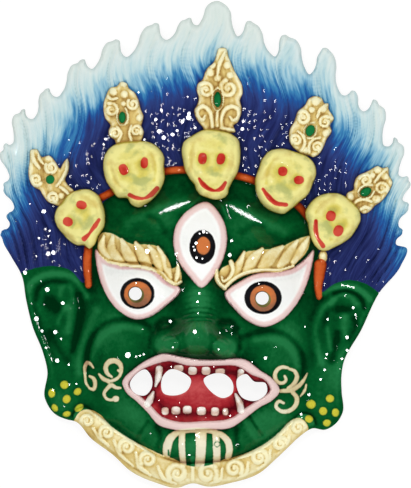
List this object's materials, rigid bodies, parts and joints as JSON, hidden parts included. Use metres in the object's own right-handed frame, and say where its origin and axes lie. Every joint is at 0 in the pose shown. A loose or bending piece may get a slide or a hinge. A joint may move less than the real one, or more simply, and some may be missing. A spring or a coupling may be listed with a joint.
{
  "type": "wall mask",
  "caption": "Wrathful protector face mask: glaring eyes, fanged open mouth, curled beard, and a diadem of skulls with scrolled leaves before a halo of flame hair; hollow behind.",
  "frame": {"origin": "middle of the outline's box, on the plane of the flat back rim that the mask lies on", "axes": "+Z out of the face, +Y towards the crown, +X to the right of someone looking at the face"},
  "size_m": [0.2532, 0.3, 0.0861],
  "materials": {
    "painted_resin": "gloss enamel paints in green, blue, gold, bone yellow, orange, rose, white and crimson over cast resin"
  },
  "bodies": {
    "root": {"mask": "painted_resin"}
  },
  "joints": []
}
